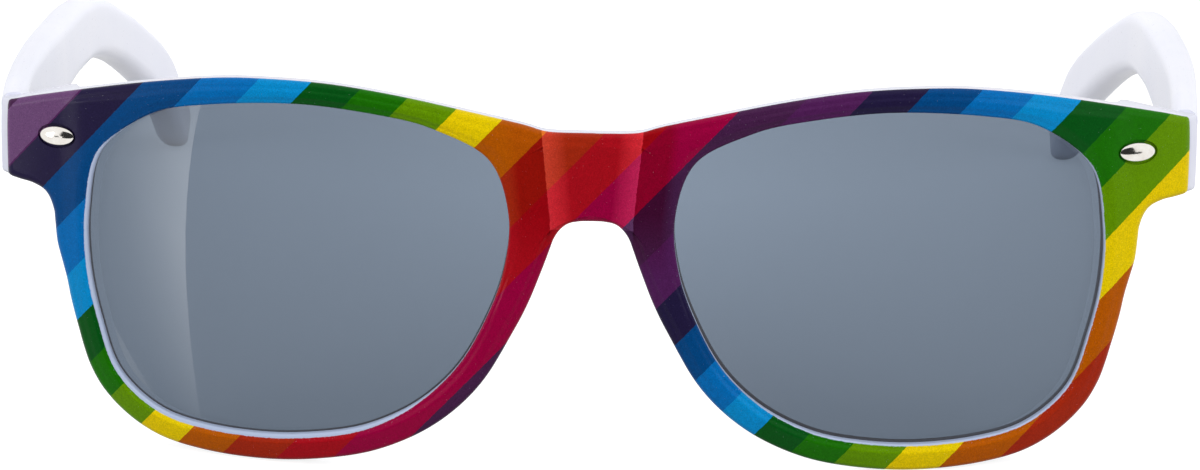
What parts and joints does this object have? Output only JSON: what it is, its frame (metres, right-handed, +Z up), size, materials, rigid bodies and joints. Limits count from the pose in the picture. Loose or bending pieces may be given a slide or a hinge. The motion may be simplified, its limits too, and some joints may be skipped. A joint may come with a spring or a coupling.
{
  "type": "sunglasses",
  "caption": "Wrapped sunglasses front with smoke lenses, oval studs and two temples that fold on screwed hinges, standing open on rims and temple tips.",
  "frame": {"origin": "middle of the footprint, on the ground that the rims and temple tips rest on", "axes": "+X towards the wearer's left end piece, -Y the way the front faces, +Z up"},
  "size_m": [0.1566, 0.1496, 0.0465],
  "materials": {
    "front_plastic": "gloss white plastic with a printed striped face",
    "temple_plastic": "satin white plastic",
    "lens": "polished smoke-grey clear plastic",
    "stud_chrome": "polished",
    "hinge_steel": "nickel-plated"
  },
  "bodies": {
    "front": {"front_frame": "front_plastic", "lens_left": "lens", "lens_right": "lens", "stud_left": "stud_chrome", "stud_right": "stud_chrome", "front_hinge_left": "hinge_steel", "front_hinge_right": "hinge_steel", "front_rivets_left": "hinge_steel", "front_rivets_right": "hinge_steel", "hinge_screw_left": "hinge_steel", "hinge_screw_right": "hinge_steel"},
    "temple_left_arm": {"temple_left": "temple_plastic", "temple_hinge_left": "hinge_steel", "temple_rivets_left": "hinge_steel"},
    "temple_right_arm": {"temple_right": "temple_plastic", "temple_hinge_right": "hinge_steel", "temple_rivets_right": "hinge_steel"}
  },
  "joints": [
    {"name": "fold_left", "type": "hinge", "parent": "front", "child": "temple_left_arm", "pos_m": [0.06905, -0.04829, 0.03537], "axis": [0, 0.1179, 0.993], "range_deg": [0, 90]},
    {"name": "fold_right", "type": "hinge", "parent": "front", "child": "temple_right_arm", "pos_m": [-0.06905, -0.04829, 0.03537], "axis": [0, -0.1179, -0.993], "range_deg": [0, 84]}
  ]
}
